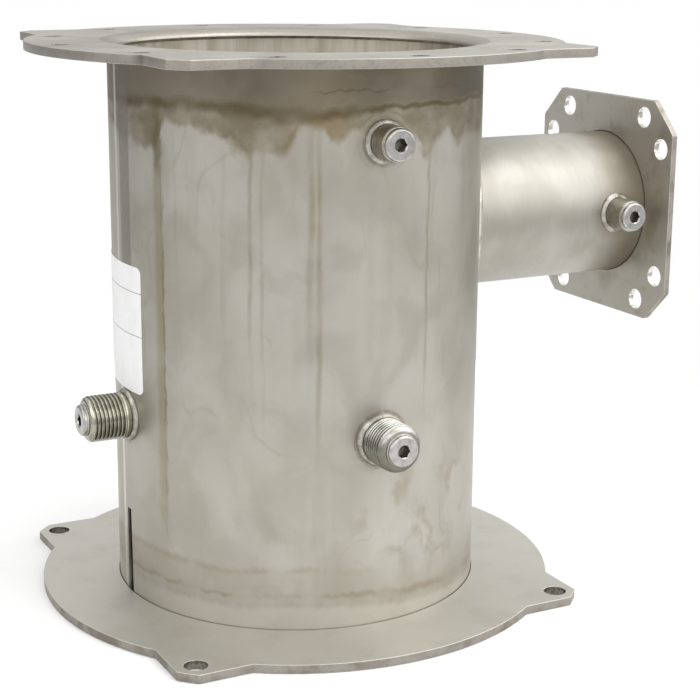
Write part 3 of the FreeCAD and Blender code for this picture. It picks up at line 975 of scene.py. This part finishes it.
# Painted light and shade: the outlet plate's face gets a lighter tone and the inlet plate's a darker one, to
# match the light that falls on each
outlet_plate = plate_finish(
    "satin_outlet_plate", "Z", rough=0.44, stain=0.15,
    face=tone(195, 193, 185), light=dark_cut, dark=dull_cut,
)
inlet_plate = plate_finish(
    "satin_inlet_plate", "Z", rough=0.30, stain=0.36,
    face=tone(178, 173, 164), light=bright_cut, dark=dark_cut,
)
gas_plate = plate_finish(
    "satin_gas_plate", "X", rough=0.44, stain=0.60,
    face=tone(196, 192, 182), light=bright_cut, dark=dull_cut,
)
# Painted shade: the walls of the holes in the outlet and inlet plates are dark
hole_wall = drilled_finish("drilled_hole_wall", tone(148, 144, 135), tone(106, 102, 94), rough=0.30)
# Painted reflection: the walls of the gas flange's holes are near white, as the white room seen in them
bright_hole_wall = drilled_finish("bright_hole_wall", tone(216, 213, 207), tone(150, 146, 138), rough=0.14)
liner = liner_finish()
boss_metal = boss_finish()
hex_wall = socket_finish()
hex_floor = socket_floor_finish()
washer_metal = washer_finish()
weld = weld_finish("cleaned_weld_bead", tone(182, 180, 172), tone(150, 146, 136))
# Painted light: the bead at the gas pipe's root is paler than the other welds, against the shade it sits in
bright_weld = weld_finish("bright_weld_bead", tone(232, 230, 224), tone(196, 192, 182))

for node, material in (
    ("outer_shell", shell_finish()),
    ("gas_pipe", gas_pipe_finish()),
    ("inlet_nozzle", liner),
    ("diffuser", liner),
    ("chamber_floor", liner),
    ("rating_label", label_finish()),
):
    nodes[node].data.materials.clear()
    nodes[node].data.materials.append(material)

flange("outlet_flange", UP, outlet_plate, hole_wall, "outlet_flange_plate")
flange("inlet_flange", UP, inlet_plate, hole_wall, "inlet_flange_plate")
flange("gas_flange", GAS_OUT, gas_plate, bright_hole_wall, "gas_flange_plate")

plain_boss(taps["upper_tap"], boss_metal)
plain_boss(taps["pipe_tap"], boss_metal)
# Painted light and shade: the left nipple, on the shaded side, gets lighter tones than the front nipple,
# which faces the light
left_thread = thread_finish(
    taps["left_tap"], "X", tone(200, 198, 186), tone(172, 168, 152), rough=0.15, grime=0.40,
)
front_thread = thread_finish(
    taps["front_tap"], "Y", tone(182, 182, 177), tone(152, 150, 142), rough=0.19, grime=0.85,
)
threaded_nipple(taps["left_tap"], left_thread)
threaded_nipple(taps["front_tap"], front_thread)
for seed, tap in enumerate(taps.values()):
    seal_washer(tap)
    socket_plug(tap)
    tap_bead(tap, tap.name + "_weld", weld, seed)
tap_bead(gas_joint, "gas_pipe_weld", bright_weld, seed=5)

# Flat beads under the foot and in the gas face: widths, heights of the two toes, and the crown
foot_width = 5.4 * MM
face_width = 2.9 * MM
inner_toe = 1.4 * MM
outer_toe = 0.9 * MM
flat_crown = (0, -0.7 * MM)
upright = Matrix.Identity(4)
foot_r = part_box("foot_weld")[1].x
ring_bead("foot_weld", (foot_r - foot_width, inner_toe), (foot_r, outer_toe), flat_crown, upright, seed=6)
face_low, face_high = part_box("gas_face_weld")
face_r = (face_high.z - face_low.z) / 2
face_turn = Matrix.Translation((gas_face, 0, gas_height)) @ Matrix.Rotation(math.radians(-90), 4, "Y")
ring_bead(
    "gas_face_weld", (face_r - face_width, inner_toe), (face_r, outer_toe), flat_crown, face_turn, seed=7,
)

# Corner beads inside the shell, at the mouth and over the nozzle's rim, crowned by a share of their leg
corner_crown = 0.15
inlet_low, inlet_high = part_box("inlet_weld")
inlet_leg = inlet_high.z - inlet_low.z
ring_bead(
    "inlet_weld", (inlet_high.x - inlet_leg, inlet_high.z), (inlet_high.x, inlet_low.z),
    (-corner_crown * inlet_leg, -corner_crown * inlet_leg), upright, seed=8,
)
nozzle_low, nozzle_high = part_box("nozzle_weld")
nozzle_leg = nozzle_high.z - nozzle_low.z
ring_bead(
    "nozzle_weld", (nozzle_high.x - nozzle_leg, nozzle_low.z), (nozzle_high.x, nozzle_high.z),
    (-corner_crown * nozzle_leg, corner_crown * nozzle_leg), upright, seed=9,
)


# Floor, light and camera


def studio_floor():
    """Round sheet of pale paper under the object."""
    floor_r = 0.42
    floor_gap = 0.2 * MM
    just_below = Matrix.Translation((0, 0, -floor_gap))
    bm = bmesh.new()
    bmesh.ops.create_circle(bm, cap_ends=True, segments=128, radius=floor_r, matrix=just_below)
    mesh = bpy.data.meshes.new("studio_floor")
    bm.to_mesh(mesh)
    bm.free()
    mesh.materials.append(floor_finish())
    floor = placed("studio_floor", mesh)


def softbox(name, place, aim, size, power):
    """Square area light that faces a point."""
    light = bpy.data.lights.new(name, "AREA")
    light.size = size
    light.energy = power
    lamp = placed(name, light)
    lamp.location = place
    lamp.rotation_euler = (Vector(aim) - Vector(place)).to_track_quat("-Z", "Y").to_euler()


def studio_world():
    """White room with broad bright panels above the front, a dimmer back, and a white backdrop in view."""
    world = bpy.data.worlds.new("studio_room")
    world.use_nodes = True
    graph = Graph(world.node_tree)
    direction = graph.node("TexCoord").output("Generated")
    axes = graph.node("SeparateXYZ", sockets={0: direction})
    height = axes.output("Z")
    front = axes.output("Y").below(0.2, 0.5)
    right = axes.output("X").above(-0.6, 0.1)
    far_right = axes.output("X").above(0.30, 0.60)
    left = axes.output("X").below(-0.95, -0.70)
    over_table = height.above(-0.08, 0.02)
    over_wall = height.above(0.15, 0.25)
    over_panels = height.above(0.60, 0.70)
    wall = 0.20 + front * (0.40 + right * 0.60 + left * 0.40)
    panels = 0.74 + far_right * 0.40 + front * (1.25 + right * 0.30 + left * 0.30)
    table = 0.76
    ceiling = 1.45
    room = table + over_table * (wall - table) + over_wall * (panels - wall)
    room = room + over_panels * (ceiling - panels)
    backdrop = graph.node("LightPath").output("Is Camera Ray")
    strength = room + (1 - room) * backdrop
    background = graph.node("Background", sockets={"Color": (1, 1, 1, 1), "Strength": strength})
    graph.node("OutputWorld", sockets={"Surface": background})
    bpy.context.scene.world = world


def photo_camera():
    """Camera at the picture's angle."""
    azimuth = math.radians(camera_azimuth)
    heading = azimuth + math.radians(camera_turn)
    tilt = math.radians(camera_tilt)
    roll = math.radians(camera_roll)
    place = Vector((math.sin(azimuth), -math.cos(azimuth), 0)) * camera_distance + UP * camera_height
    ahead = Vector((-math.sin(heading) * math.cos(tilt), math.cos(heading) * math.cos(tilt), -math.sin(tilt)))
    right = Vector((math.cos(heading), math.sin(heading), 0))
    above = right.cross(ahead)
    rolled_right = right * math.cos(roll) + above * math.sin(roll)
    rolled_above = above * math.cos(roll) - right * math.sin(roll)
    lens = bpy.data.cameras.new("photo_camera")
    lens.sensor_width = SENSOR_MM
    lens.lens = FOCAL_PIXELS / PICTURE_PIXELS * SENSOR_MM
    lens.clip_start = 0.01
    camera = placed("photo_camera", lens)
    turn = Matrix((rolled_right, rolled_above, -ahead)).transposed().to_4x4()
    camera.matrix_world = Matrix.Translation(place) @ turn
    bpy.context.scene.camera = camera


studio_floor()
studio_world()
softbox("key_softbox", place=(0.75, -0.75, 1.75), aim=(0.08, 0, 0.15), size=1.1, power=11)
photo_camera()
bpy.context.scene.view_settings.view_transform = "Standard"
